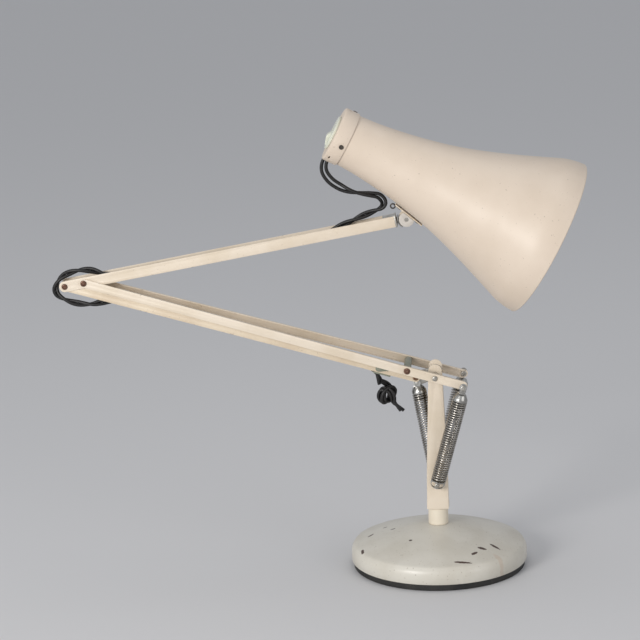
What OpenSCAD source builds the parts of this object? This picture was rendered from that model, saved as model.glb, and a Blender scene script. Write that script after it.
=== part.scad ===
// Architect desk lamp: a weighted round base, a turning post, a sprung
// parallel-link arm in two halves and a bell shade on a tilting knuckle.
// Millimetres, +Z up. The origin is the centre of the base's underside.
// +X points to the shade's side, and the arm folds in the XZ plane.

/* [Base] */
// Diameter of the painted base cover
base_d = 180; // [150:1:220]
// Height of the cover's crown above the table
base_h = 43.5; // [38:0.5:56]
// Height of the cover's straight side wall, above the ring
base_side_h = 11; // [8:0.5:14]
// Sheet thickness of the base cover
cover_wall = 1.6; // [1:0.1:2.2]
// Height of the black ring that the cover stands on
ring_h = 7; // [5:0.5:9]
// How far the ring is set in from the cover's edge
ring_inset = 2; // [1:0.5:4]
// Thickness of the felt under the base
felt_t = 1.5; // [1:0.1:3]

/* [Post] */
// Outer diameter of the neck bush
neck_d = 20.4; // [18:0.2:24]
// Height of the neck bush above the crown
neck_h = 17.7; // [10:0.1:22]
// Outer diameter of the post's collar
collar_d = 23; // [21:0.5:27]
// Height of the solid collar
collar_h = 5.8; // [4:0.1:12]
// Diameter of the turning spindle
spindle_d = 12; // [9:0.5:13]
// Wall of the pressed post
post_wall = 1.5; // [1.2:0.1:2]
// Width of the post at its pivot end
post_top_w = 13.6; // [12:0.2:16]
// Height of the main pivot above the table
pivot_h = 203; // [180:1:240]
// Height of the spring anchor above the table
anchor_h = 90; // [84:1:96]

/* [Arms] */
// Pivot to elbow length of the lower arm
lower_len = 367; // [320:1:440]
// Elbow to knuckle length of the upper arm
upper_len = 333; // [280:1:400]
// Distance between the two pivots of each parallel link end
crank_len = 20; // [18:0.5:22]
// Distance of the spring pins behind the main pivot
tail_len = 29.5; // [25:0.5:34]
// Slope of the lower arm at rest, in degrees
lower_rest = 15.9; // [12:0.1:20]
// Slope of the upper arm at rest, in degrees
upper_rest = 10.2; // [9:0.1:14]
// Height of each side bar's web
bar_h = 8.6; // [7:0.1:12]
// Sheet thickness of the side bars
bar_wall = 1; // [0.8:0.1:1.2]
// Depth of the side bars' folded edges
bar_lip = 3.5; // [2.5:0.1:4.5]
// Distance over the two side bars at the main pivot
bar_spread = 51; // [48:0.5:58]
// Outer width of the upper arm's channel
upper_w = 17; // [16.6:0.1:18]
// Height of the upper arm's channel
upper_h = 11; // [10:0.1:12]
// Height of the link's channel
link_h = 9; // [8:0.1:9.4]
// Sheet thickness of the two channels
channel_wall = 1.2; // [0.9:0.1:1.3]
// Radius of the arm pivots
pivot_r = 2.2; // [1.8:0.1:2.5]

/* [Springs] */
// Outer diameter of the springs
spring_d = 15.6; // [14:0.2:16.4]
// Diameter of the spring wire
spring_wire = 1.8; // [1.4:0.1:2]
// Radius of the pins that the springs hook on
hook_pin_r = 1.75; // [1.5:0.05:2]

/* [Head] */
// Diameter of the shade's mouth
mouth_d = 163; // [140:1:180]
// Diameter of the shade's narrow end
throat_d = 53; // [50:0.5:58]
// Length of the shade from the cap's seam to the mouth
shade_len = 224.5; // [200:0.5:260]
// Sheet thickness of the shade
shade_wall = 1; // [0.8:0.1:1.4]
// Diameter of the switch cap
cap_d = 56; // [55:0.5:62]
// Length of the switch cap's sleeve
cap_len = 15; // [12:0.5:20]
// Slope of the shade at rest, in degrees
shade_rest = 28.3; // [20:0.1:35]
// Turn of the shade about the upper arm at rest, in degrees
head_swing = 6; // [0:0.5:10]
// Distance from the tilt pivot up to the shade's centreline
shade_offset = 45.5; // [45:0.1:50]
// Distance from the tilt pivot back to the shade's narrow end, along the shade
shade_back = 88.5; // [70:0.5:100]
// Radius of the shade bracket's ears
ear_r = 7.7; // [7:0.1:8]

/* [Flex] */
// Diameter over the twisted pair of the flex
flex_d = 7; // [5:0.1:7.2]

/* [Hidden] */
$fn = 64;

// Clearances: running fits on pivots, and the gap between parts that pass
running = 0.05;
gap = 0.35;

cream = [0.87, 0.81, 0.70];
steel = [0.70, 0.70, 0.68];
dark_steel = [0.35, 0.33, 0.31];
black = [0.06, 0.06, 0.06];

// Base and post, derived
base_r = base_d / 2;
neck_bore_r = spindle_d / 2 + running;
neck_top = base_h + neck_h;
collar_top = neck_top + collar_h;
cheek_y = collar_d / 2;
slot_y = cheek_y - post_wall;
post_foot_w = collar_d - 1;
post_top_r = post_top_w / 2;

// Arm frames, derived
main_pivot = [0, 0, pivot_h];
elbow = [-lower_len * cos(lower_rest), 0, pivot_h + lower_len * sin(lower_rest)];
knuckle_at = elbow + upper_len * [cos(upper_rest), 0, sin(upper_rest)];
link_y = slot_y - 3;
upper_y = upper_w / 2;
bar_y = bar_spread / 2;
elbow_y = upper_y + bar_wall + 0.6;
cut_back = 34;
bend_x = 28.8;
bar_yaw = atan((bar_y - elbow_y) / (lower_len - bend_x));
main_run = (lower_len - bend_x) / cos(bar_yaw);
web_cut = 27;
spacer_r = 3.8;
clip_at = lower_len - 34;
clip_peg_r = 1.5;

// Springs, derived: each hangs from a pin T and loops over the anchor pin
spring_r = spring_d / 2;
hook_y = bar_y + gap + spring_r;
foot_y = cheek_y + 0.6 + spring_r;
coil_in_r = spring_r - spring_wire;
coil_foot = 5.7;
tail_pin = main_pivot + tail_len * [cos(lower_rest), 0, -sin(lower_rest)];
crank_hook = [-crank_len, 0, -6.4];
crank_t = 2.6;
left_pin = main_pivot + [crank_hook[0] * cos(upper_rest) - crank_hook[2] * sin(upper_rest), 0,
                         crank_hook[0] * sin(upper_rest) + crank_hook[2] * cos(upper_rest)];
side_len = norm([tail_pin[0], hook_y - foot_y, tail_pin[2] - anchor_h]);
side_lean = asin((hook_y - foot_y) / side_len);
left_len = norm([left_pin[0], 0, left_pin[2] - anchor_h]);
plug_len = 14;
stud_len = 8;
left_plug_len = 11;
foot_slot = 2.5;
foot_slot_r = hook_pin_r + 2;

// Head, derived: x runs along the shade from the tilt pivot to the mouth
seam_x = -shade_back;
cap_r = cap_d / 2;
ear_flat = 4;
strap_t = 1.2;
strap_slope = 12.5;
arm_end = upper_len - 11.7;
strap_holes = [-11.5, 11.5];
eyelet_r = 2.3;
rocker_z = -5.5;
rocker_at = [seam_x - cap_len - 0.2, 0, shade_offset + rocker_z];
switch_r = 15.4;
cap_screw_turns = [35, 155, 275];
holder_r = 13;
bulb_cap_r = 11;
bulb_cap_len = 25;
bulb_at = 40;
bulb_r = 30;
bulb_reach = 53;
bulb_wall = 1.2;

// Routes, chosen by hand. The head loop hangs from the cap to its turn, comes
// back to the upper arm and goes into the open channel.
head_loop = [[-101.7, -8.2, 427.7], [-105.5, -7.5, 420.7], [-105.5, -6.8, 412], [-99.8, -5.6, 403],
             [-91, -5, 396.5], [-81, -6, 392],
             [-70, -6, 389.5], [-60, -5, 388], [-52, -4, 386], [-47.5, -3, 380]];
head_return = [[-47.5, -3, 380], [-50, -2, 374], [-60, -1, 369.5], [-72, 0, 364.5],
               [-84, 0, 359], [-96, 0, 353.4], [-106, 0, 349.4], [-116, 0, 346.4],
               [-126, 0, 344]];
elbow_top = [[-320, 0, 309.1], [-330, 0, 310], [-338, 0, 312.8], [-346, 0, 315], [-356, 0, 315.5],
             [-366, 0, 313.5], [-375, 0, 309.5], [-381, 0, 303.5], [-383.5, 0, 296]];
elbow_bottom = [[-383.5, 0, 296], [-381.5, 0, 290], [-375, 0, 285.5], [-366, 0, 282],
                [-356, 0, 280.2], [-346, 0, 280], [-336, 0, 281.8], [-326, 0, 282.8],
                [-316, 0, 282.2], [-306, 0, 280.3]];
tail_route = [[-78, 0, 215.4], [-69, 0, 211.9], [-62, 0, 206.8], [-58, 0, 199.5], [-55.5, 0, 192]];
knot_at = [-49, 0, 181];
knot_r = 10;
end_route = [[-43, 0, 172.4], [-38, 0, 167], [-32, 0, 160.5]];
function after_first(q) = [for (i = [1:len(q) - 1]) q[i]];
flex_route = concat(head_loop, after_first(head_return), elbow_top,
                    after_first(elbow_bottom), tail_route);
turn_at = len(head_loop) - 1;
arm_at = turn_at + len(head_return) - 1;
elbow_at = arm_at + len(elbow_top);
link_at = elbow_at + len(elbow_bottom) - 1;

module at_pivot() { translate(main_pivot) rotate([0, lower_rest, 0]) children(); }
module at_elbow() { translate(elbow) rotate([0, -upper_rest, 0]) children(); }
module at_link() {
    translate(elbow - crank_len * [cos(upper_rest), 0, sin(upper_rest)])
        rotate([0, lower_rest, 0]) children();
}
module at_crank() { translate(main_pivot) rotate([0, -upper_rest, 0]) children(); }
module at_knuckle() {
    translate(knuckle_at) rotate([0, -upper_rest, 0]) rotate([head_swing, 0, 0]) children();
}
module at_shade() { at_knuckle() rotate([0, upper_rest + shade_rest, 0]) children(); }

// A cylinder along Y from y0 to y1
module y_rod(r, y0, y1) { translate([0, y1, 0]) rotate([90, 0, 0]) cylinder(r = r, h = y1 - y0); }
module y_tube(r, hole, y0, y1) {
    difference() { y_rod(r, y0, y1); y_rod(hole, y0 - 1, y1 + 1); }
}
// A rivet: a shank with a low head at each end that is asked for
module rivet(r, y0, y1, head_r, front = true, back = true) {
    y_rod(r, y0, y1);
    if (front) translate([0, y0, 0]) rivet_head(head_r, -1);
    if (back) translate([0, y1, 0]) rivet_head(head_r, 1);
}
module rivet_head(r, side) {
    rotate([-90 * side, 0, 0]) rotate_extrude()
        polygon([[0, 0], [r, 0], [r, 0.5], [0.85 * r, 1.1], [0.6 * r, 1.3], [0.4 * r, 0.5], [0, 0.5]]);
}

// ---- Base ----

// Outline of the cover's outer face, from the rim up to the crown
function cover_outline(inset) = [
    [base_r - inset, ring_h],
    [base_r - inset, ring_h + base_side_h - 1],
    [base_r - inset - 0.8, ring_h + base_side_h + 2.2],
    [base_r - inset - 2.6, ring_h + base_side_h + 4.9],
    [base_r - inset - 6, ring_h + base_side_h + 7.2 - inset * 0.6],
    [base_r * 0.68, base_h * 0.76 - inset],
    [base_r * 0.36, base_h * 0.915 - inset],
    [spindle_d / 2 + 4.6, base_h - inset]
];
module base_cover() {
    color(cream) difference() {
        rotate_extrude($fn = 128) polygon(concat(cover_outline(0), [[0, base_h], [0, ring_h]]));
        translate([0, 0, -0.01]) rotate_extrude($fn = 128)
            polygon(concat(cover_outline(cover_wall), [[0, base_h - cover_wall], [0, ring_h]]));
        cylinder(r = neck_bore_r + 2.4, h = base_h + 5);
    }
}
module base_weight() {
    color(dark_steel) difference() {
        rotate_extrude($fn = 128) polygon([
            [0, felt_t], [base_r - ring_inset - 5.2, felt_t],
            [base_r - ring_inset - 5.2, ring_h + base_side_h - 2],
            [base_r - 14, ring_h + base_side_h + 1], [base_r * 0.62, base_h * 0.66],
            [spindle_d + 8, base_h * 0.74], [0, base_h * 0.74]]);
        translate([0, 0, -1]) cylinder(r = neck_bore_r + 2.4 + gap, h = base_h);
        translate([0, 0, -1]) cylinder(r = spindle_d + 3, h = 14);
    }
}
module base_ring() {
    color(black) difference() {
        cylinder(r = base_r - ring_inset, h = ring_h, $fn = 128);
        translate([0, 0, -1]) cylinder(r = base_r - ring_inset - 5, h = ring_h + 2, $fn = 128);
    }
}
module base_felt() {
    color([0.18, 0.24, 0.18]) cylinder(r = base_r - ring_inset - 5.2, h = felt_t, $fn = 128);
}
// The bush stands on the crown, and its tail goes down through the weight
module neck_bush() {
    color(cream) difference() {
        union() {
            translate([0, 0, base_h]) cylinder(d = neck_d, h = neck_h - 0.3);
            translate([0, 0, 15]) cylinder(r = neck_bore_r + 2.3, h = base_h - 14);
        }
        translate([0, 0, 10]) cylinder(r = neck_bore_r, h = neck_top);
    }
}
// Hexagonal nut and washer that hold the spindle down inside the weight
module spindle_nut() {
    color(steel) translate([0, 0, 5]) difference() {
        union() {
            cylinder(r = spindle_d / 2 + 2.8, h = 5, $fn = 6);
            translate([0, 0, 5]) cylinder(r = spindle_d / 2 + 2.2, h = 1.5);
        }
        translate([0, 0, -1]) cylinder(r = spindle_d / 2 - 1.5, h = 9);
    }
}

// ---- Post ----

module spindle() {
    color(steel) {
        translate([0, 0, 12]) cylinder(d = spindle_d, h = neck_top - 12);
        translate([0, 0, 3.5]) cylinder(r = spindle_d / 2 - 1.5, h = 8.5);
    }
}
// The post is a pressed channel, open towards -X, on a solid round collar
module post() {
    color(cream) difference() {
        union() {
            translate([0, 0, neck_top]) cylinder(d = collar_d, h = collar_h);
            post_blank(cheek_y);
        }
        post_slot();
        translate(main_pivot) y_rod(pivot_r, -cheek_y - 1, cheek_y + 1);
        translate([0, 0, anchor_h]) y_rod(hook_pin_r, -cheek_y - 1, cheek_y + 1);
    }
}
module post_blank(half) {
    translate([0, half, 0]) rotate([90, 0, 0]) linear_extrude(2 * half) union() {
        polygon([[-post_foot_w / 2, neck_top + 0.5], [post_foot_w / 2, neck_top + 0.5],
                 [post_foot_w / 2 - 0.4, anchor_h + 8],
                 [post_top_r, pivot_h + 4], [-post_top_r, pivot_h + 4],
                 [-post_foot_w / 2 + 0.4, anchor_h + 8]]);
        translate([0, pivot_h + 4]) circle(r = post_top_r);
    }
}
module post_slot() {
    translate([0, slot_y, 0]) rotate([90, 0, 0]) linear_extrude(2 * slot_y)
        polygon([[-collar_d, collar_top], [post_foot_w / 2 - post_wall, collar_top],
                 [post_foot_w / 2 - 0.4 - post_wall, anchor_h + 8],
                 [post_top_r - post_wall, pivot_h - 6], [post_top_r + 1, pivot_h + 2],
                 [post_top_r + 1, pivot_h + 20], [-collar_d, pivot_h + 20]]);
}
module anchor_pin() {
    color(steel) translate([0, 0, anchor_h])
        rivet(hook_pin_r, -foot_y - 2.6, foot_y + 2.6, 2.6);
}
module pivot_pin() {
    color(steel) translate(main_pivot) rivet(pivot_r, -bar_y - 0.6, bar_y + 0.6, pivot_r + 0.5);
}
module pivot_spacers() {
    color(steel) translate(main_pivot) for (s = [-1, 1])
        y_tube(3.3, pivot_r, min(s * cheek_y, s * (bar_y - bar_wall - gap)),
               max(s * cheek_y, s * (bar_y - bar_wall - gap)));
}

// ---- Lower arm ----

// Channel section, web at y = 0, with its lips towards +Y
module bar_stretch(x0, x1, lips_from) {
    translate([x0, 0, -bar_h / 2]) cube([x1 - x0, bar_wall, bar_h]);
    for (z = [-bar_h / 2, bar_h / 2 - bar_wall])
        translate([lips_from, 0, z]) cube([x1 - lips_from, bar_lip, bar_wall]);
}
module round_end() { y_rod(bar_h / 2, 0, bar_wall); }
// Front bar: straight from the tail to the bend, then converging on the elbow
module bar() {
    difference() {
        union() {
            translate([0, -bar_y, 0]) {
                bar_stretch(-bend_x, tail_len, -bend_x);
                translate([tail_len, 0, 0]) round_end();
            }
            translate([-bend_x, -bar_y, 0]) rotate([0, 0, -bar_yaw]) {
                bar_stretch(-main_run, 0, -main_run + cut_back);
                translate([-main_run, 0, 0]) round_end();
            }
        }
        y_rod(pivot_r + running, -bar_y - 2, 0);
        translate([tail_len, 0, 0]) y_rod(hook_pin_r, -bar_y - 2, 0);
        translate([-bend_x, 0, 0]) y_rod(hook_pin_r, -bar_y - 2, 0);
        translate([-lower_len, 0, 0]) y_rod(pivot_r + running, -bar_y - 2, 0);
    }
}
module front_bar() { color(cream) at_pivot() bar(); }
module rear_bar() { color(cream) at_pivot() mirror([0, 1, 0]) bar(); }
// Tube between the bars, turned down at its ends to pass the folded edges
module spacer_tube() {
    color([0.55, 0.56, 0.48]) at_pivot() translate([-bend_x, 0, 0]) difference() {
        union() {
            y_rod(spacer_r, -bar_y + bar_lip + gap, bar_y - bar_lip - gap);
            y_rod(bar_h / 2 - bar_wall - gap, -bar_y + bar_wall + 0.25, bar_y - bar_wall - 0.25);
        }
        y_rod(hook_pin_r, -bar_y, bar_y);
    }
}
module spacer_bolt() {
    color([0.35, 0.22, 0.14]) at_pivot() translate([-bend_x, 0, 0])
        rivet(hook_pin_r, -bar_y, bar_y, hook_pin_r + 1.5);
}
// Two short pins in the tails, each with a head that keeps its spring on
module spring_pins() {
    color(steel) at_pivot() translate([tail_len, 0, 0]) for (s = [0, 1]) mirror([0, s, 0]) {
        y_rod(hook_pin_r, -hook_y - 2.6, -bar_y + bar_wall);
        translate([0, -hook_y - 2.6, 0]) rivet_head(3, -1);
        translate([0, -bar_y + bar_wall, 0]) rivet_head(3, 1);
    }
}

// ---- Elbow, upper arm and link ----

module elbow_pin() {
    color([0.45, 0.30, 0.20]) translate(elbow)
        rivet(pivot_r, -elbow_y - 0.7, elbow_y + 0.7, pivot_r + 0.9);
}
module elbow_washers() {
    color(steel) translate(elbow) for (s = [-1, 1])
        y_tube(4.2, pivot_r, min(s * (upper_y + 0.1), s * (upper_y + 0.35)),
               max(s * (upper_y + 0.1), s * (upper_y + 0.35)));
}
// Channel open on top; its floor is cut back where the link passes
module upper_arm() {
    half = upper_h / 2;
    color(cream) at_elbow() difference() {
        union() {
            translate([-crank_len, -upper_y, -half]) cube([arm_end + crank_len, upper_w, upper_h]);
            translate([-crank_len, 0, 0]) y_rod(half, -upper_y, upper_y);
        }
        translate([-crank_len - upper_h, -upper_y + channel_wall, -half + channel_wall])
            cube([arm_end + crank_len + upper_h + 1, upper_w - 2 * channel_wall, upper_h + 1]);
        translate([-crank_len - upper_h, -upper_y + channel_wall, -half - 1])
            cube([upper_h + web_cut, upper_w - 2 * channel_wall, upper_h + 2]);
        y_rod(pivot_r + running, -upper_y - 1, upper_y + 1);
        translate([-crank_len, 0, 0]) y_rod(pivot_r + running, -upper_y - 1, upper_y + 1);
    }
}
// Block in the arm's end that the knuckle's stem turns in
module knuckle_bush() {
    color(steel) at_elbow() difference() {
        union() {
            translate([arm_end - 12, -upper_y + channel_wall, -upper_h / 2 + channel_wall])
                cube([12, upper_w - 2 * channel_wall, upper_h - channel_wall]);
            translate([arm_end, -upper_y - 0.6, -upper_h / 2 - 0.6]) cube([1.6, upper_w + 1.2, upper_h + 1.2]);
        }
        translate([arm_end - 13, 0, 0]) rotate([0, 90, 0]) cylinder(r = 3 + running, h = 20);
    }
}
module link_pin() {
    color([0.45, 0.30, 0.20]) at_elbow() translate([-crank_len, 0, 0])
        rivet(pivot_r, -upper_y - 0.25, upper_y + 0.25, pivot_r + 0.8);
}
// Channel open underneath, between the upper arm's cheeks and the post's cheeks
module link() {
    half = link_h / 2;
    color([0.88, 0.80, 0.64]) at_link() difference() {
        union() {
            translate([0, -link_y, -half]) cube([lower_len, 2 * link_y, link_h]);
            for (x = [0, lower_len]) translate([x, 0, 0]) y_rod(half, -link_y, link_y);
        }
        translate([-link_h, -link_y + channel_wall, -half - 1])
            cube([lower_len + 2 * link_h, 2 * (link_y - channel_wall), link_h + 1 - channel_wall]);
        translate([-link_h, -link_y + channel_wall, -half - 1])
            cube([link_h + web_cut, 2 * (link_y - channel_wall), link_h + 2]);
        translate([lower_len - 16, -link_y + channel_wall, -half - 1])
            cube([30, 2 * (link_y - channel_wall), link_h + 2]);
        for (x = [0, lower_len]) translate([x, 0, 0])
            y_rod(pivot_r + running, -link_y - 1, link_y + 1);
        translate([clip_at, 0, 0]) y_rod(clip_peg_r + running, -link_y - 1, link_y + 1);
    }
}
// Plastic clip under the link that holds the end of the flex
module link_clip() {
    color([0.52, 0.55, 0.46]) at_link() translate([clip_at, 0, 0]) {
        difference() {
            translate([-9, -link_y + channel_wall, -link_h / 2 - 2])
                cube([18, 2 * (link_y - channel_wall), link_h + 2 - channel_wall]);
            translate([-12, 0, 0]) rotate([0, 90, 0]) cylinder(d = flex_d, h = 30);
            translate([-12, -flex_d / 2, -link_h]) cube([30, flex_d, link_h]);
        }
        for (s = [0, 1]) mirror([0, s, 0]) {
            y_rod(clip_peg_r, -link_y - 0.5, -flex_d / 2 - 0.8);
            translate([0, -link_y - 0.1, 0]) rotate([90, 0, 0]) linear_extrude(1.1) hull() {
                translate([-4.5, -0.4]) circle(r = 3.2);
                translate([9.5, 2]) circle(r = 0.6);
            }
        }
    }
}

// ---- Crank ----

// Forged plate on the main pivot: one corner drives the link, one takes a spring
module crank() {
    color(steel) at_crank() {
        difference() {
            union() {
                crank_plate();
                y_rod(6, -slot_y + 0.3, slot_y - 0.3);
            }
            y_rod(pivot_r + running, -slot_y - 1, slot_y + 1);
            translate([-crank_len, 0, 0]) y_rod(pivot_r, -crank_t - 1, crank_t + 1);
        }
        translate(crank_hook) y_rod(hook_pin_r, -crank_t - 2.2, crank_t + 2.2);
    }
}
module crank_plate() {
    translate([0, crank_t, 0]) rotate([90, 0, 0]) linear_extrude(2 * crank_t) union() {
        polygon([[-crank_len, 4.2], [0, 5.5], [2, -5], [crank_hook[0] + 2, crank_hook[2] - 3.2],
                 [crank_hook[0] - 3.6, crank_hook[2]], [-crank_len - 4.2, 0]]);
        translate([-crank_len, 0]) circle(r = 4.2);
        translate([crank_hook[0], crank_hook[2]]) circle(r = 3.8);
    }
}
// Hollow rivet that joins the crank and the link, with clearance in the link
module crank_rivet() {
    color([0.62, 0.52, 0.40]) at_crank() translate([-crank_len, 0, 0])
        rivet(pivot_r, -link_y - 0.25, link_y + 0.25, pivot_r + 0.8);
}

// ---- Knuckle and shade ----

// The stem turns in the arm's end. Its tongue lies between the ears of the
// shade's bracket, and a curved band guards them from behind.
module knuckle() {
    band_r = ear_r + 0.8;
    color(steel) at_knuckle() difference() {
        union() {
            y_rod(3.4, -3.1, 3.1);
            translate([-band_r - 0.5, -3.1, -3.4]) cube([band_r + 0.5, 6.2, 6.8]);
            translate([0, 5.4, 0]) rotate([90, 0, 0]) rotate([0, 0, 152])
                rotate_extrude(angle = 80) translate([band_r, 0]) square([0.9, 10.8]);
            translate([-26.4, 0, 0]) rotate([0, 90, 0]) cylinder(r = 3, h = 26.4 - band_r);
            translate([-25.8, 0, 0]) rotate([0, 90, 0]) cylinder(r = 4, h = 1.5);
        }
        y_rod(2 + running, -8, 8);
    }
}
// Pressure disc in front of the ears, flat where it meets the strap
module tilt_disc() {
    color([0.80, 0.79, 0.76]) at_shade() difference() {
        y_rod(ear_r - 0.1, -6.5, -5.45);
        at_strap() translate([-17, -8, -0.1]) cube([34, 16, 12]);
        y_rod(2 + running, -8, 8);
    }
}
// Tilt screw, flush in the disc, with a hexagonal nut behind
module tilt_pin() {
    color(steel) at_shade() {
        y_rod(2, -6.5, 6);
        translate([0, 5.4, 0]) rotate([-90, 0, 0]) cylinder(r = 3.9, h = 2.6, $fn = 6);
    }
}

// Radius of the shade at x: a slow taper that swells into the bell
function shade_r(t) = throat_d / 2 + (mouth_d - throat_d) / 2 * (
    t < 0.08 ? 0.24 * t :
    t < 0.42 ? 0.0192 + 0.39 * (t - 0.08) + 0.82 * pow(t - 0.08, 2) :
    t < 0.90 ? 0.2466 + 1.0 * (t - 0.42) + 1.3 * pow(t - 0.42, 2) - 0.87 * pow(t - 0.42, 3) :
    0.9298 + 1.3 * (t - 0.9) - 6 * pow(t - 0.9, 2));
shade_steps = 22;
function shade_line(inset) =
    [for (i = [0:shade_steps]) let (t = i / shade_steps) [shade_r(t) - inset, t * shade_len]];
module at_axis() { translate([seam_x, 0, shade_offset]) rotate([0, 90, 0]) children(); }
module shade() {
    outer = shade_line(0);
    inner = shade_line(shade_wall);
    color([0.84, 0.75, 0.62]) at_shade() difference() {
        at_axis() rotate_extrude($fn = 128)
            polygon(concat(outer, [for (i = [shade_steps:-1:0]) inner[i]]));
        strap_bores(1.6);
    }
}
module strap_bores(r) {
    at_strap() for (x = strap_holes) translate([x, 0, -5]) cylinder(r = r, h = 15);
}
// Pressed cap over the narrow end, with a ring of seam and two vents
module shade_cap() {
    color([0.84, 0.77, 0.66]) at_shade() difference() {
        at_axis() translate([0, 0, -cap_len]) difference() {
            rotate_extrude($fn = 96)
                polygon([[0, 0], [cap_r - 1.2, 0], [cap_r, 1.2], [cap_r, cap_len], [0, cap_len]]);
            translate([0, 0, 1.6]) cylinder(r = cap_r - 1.4, h = cap_len, $fn = 96);
        }
        at_axis() translate([0, 0, -cap_len - 1]) cylinder(r = switch_r + 0.1, h = 4);
        at_cap_screws() cylinder(r = 1.45, h = 4, center = true);
        translate([seam_x - cap_len + 5, 0, shade_offset]) {
            cylinder(r = 1.3, h = cap_r + 1);
            for (a = [134, 226]) rotate([a, 0, 0]) translate([-0.7, -2.6, 0]) cube([1.4, 5.2, cap_r + 1]);
            rotate([180, 0, 0]) cylinder(d = flex_d, h = cap_r + 1);
        }
    }
}
module at_cap_screws() {
    at_axis() for (a = cap_screw_turns) rotate([0, 0, a])
        translate([cap_r - 0.7, 0, -4.5]) rotate([0, 90, 0]) children();
}
module cap_screws() {
    color(dark_steel) at_shade() at_cap_screws() {
        translate([0, 0, -1.6]) cylinder(r = 1.4, h = 2.4);
        translate([0, 0, 0.75]) cylinder(r = 2.3, h = 0.9);
    }
}
// Round plate behind the cap that carries the rocker
module switch_plate() {
    color([0.80, 0.82, 0.74]) at_shade() at_axis() translate([0, 0, -cap_len]) difference() {
        union() {
            translate([0, 0, -2.4]) cylinder(r = switch_r + 2, h = 2.4);
            cylinder(r = switch_r, h = 9);
        }
        translate([-rocker_z - 8.8, -5.4, -3]) cube([17.6, 10.8, 9]);
    }
}
module rocker() {
    color([0.82, 0.84, 0.76]) at_shade() translate(rocker_at) rotate([0, 7, 0]) difference() {
        translate([0, 5, 0]) rotate([90, 0, 0]) linear_extrude(10)
            polygon([[3, -6], [-2.2, -8.2], [-5.4, -1.2], [-5.4, 1.2], [-2.2, 8.2], [3, 6]]);
        y_rod(1.2, -6, 6);
    }
}
module lampholder() {
    color([0.88, 0.87, 0.82]) at_shade() at_axis() difference() {
        union() {
            cylinder(r = holder_r + 1, h = 12);
            translate([0, 0, 12]) cylinder(r = holder_r, h = 26);
            translate([0, 0, -3]) cylinder(r = holder_r - 3, h = 3);
        }
        translate([0, 0, bulb_at - bulb_cap_len - 1]) cylinder(r = bulb_cap_r + 0.6, h = 26);
    }
}
module holder_ring() {
    color([0.88, 0.87, 0.82]) at_shade() at_axis() translate([0, 0, 24]) rotate_extrude()
        polygon([[holder_r + 0.1, 0], [holder_r + 4, 0], [holder_r + 4, 3],
                 [holder_r + 2.4, 8], [holder_r + 0.1, 8]]);
}
// Brass cap, a thin cup that the glass stands in
module bulb_cap() {
    color([0.80, 0.72, 0.50]) at_shade() at_axis() translate([0, 0, bulb_at - bulb_cap_len]) difference() {
        cylinder(r = bulb_cap_r, h = bulb_cap_len);
        translate([0, 0, 2]) cylinder(r = bulb_cap_r - 0.8, h = bulb_cap_len);
    }
}
// Pearl glass blown thin: a neck that swells into a globe
module bulb_glass() {
    color([0.95, 0.95, 0.92]) at_shade() at_axis() translate([0, 0, bulb_at]) rotate_extrude()
        polygon(concat(bulb_line(0), bulb_line(bulb_wall, reverse = true)));
}
function bulb_globe(inset, angles) =
    [for (a = angles) [(bulb_r - inset) * cos(a), bulb_reach + (bulb_r - inset) * sin(a)]];
function bulb_neck(inset) = [[bulb_cap_r + 0.5 - inset, 0], [bulb_cap_r + 1.5 - inset, 6],
                             [bulb_r / 2 - inset, 16], [bulb_r * 2 / 3 - inset, 27]];
function bulb_line(inset, reverse = false) = reverse
    ? concat(bulb_globe(inset, [90:-10:-40]), [for (i = [3:-1:0]) bulb_neck(inset)[i]])
    : concat(bulb_neck(inset), bulb_globe(inset, [-40:10:90]));
// Strap under the shade, with two ears folded down round the knuckle's tongue
module at_strap() { translate([0, 0, ear_flat]) rotate([0, strap_slope, 0]) children(); }
module shade_strap() {
    color(cream) at_shade() difference() {
        union() {
            for (s = [0, 1]) mirror([0, s, 0]) y_rod(ear_r, 3.4, 5.4);
            at_strap() translate([-17, -5.4, 0]) cube([34, 10.8, strap_t]);
        }
        at_strap() translate([-17, -8, strap_t]) cube([34, 16, 12]);
        y_rod(2, -8, 8);
        strap_bores(1.6);
    }
}
module strap_screws() {
    color(dark_steel) at_shade() at_strap() for (x = strap_holes) translate([x, 0, 0]) {
        translate([0, 0, -1.3]) cylinder(r = 2.2, h = 1.3);
        cylinder(r = 1.5, h = strap_t + 3.2);
        translate([0, 0, strap_t + 3]) cylinder(r = 2.4, h = 1.2);
    }
}
// Small wire ring at the strap's end
module cable_eyelet() {
    color(dark_steel) at_shade() at_strap() translate([-17.6, 0, -eyelet_r - 0.7]) rotate([90, 0, 0])
        rotate_extrude() translate([eyelet_r, 0]) circle(r = 0.7, $fn = 24);
}

// ---- Springs ----

// A spring's own frame: z runs from its foot pin up to its top pin
module spring_frame(top, foot) {
    d = top - foot;
    translate(foot) rotate([0, atan2(d[0], d[2]), 0])
        rotate([-atan2(d[1], norm([d[0], d[2]])), 0, 0]) children();
}
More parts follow.
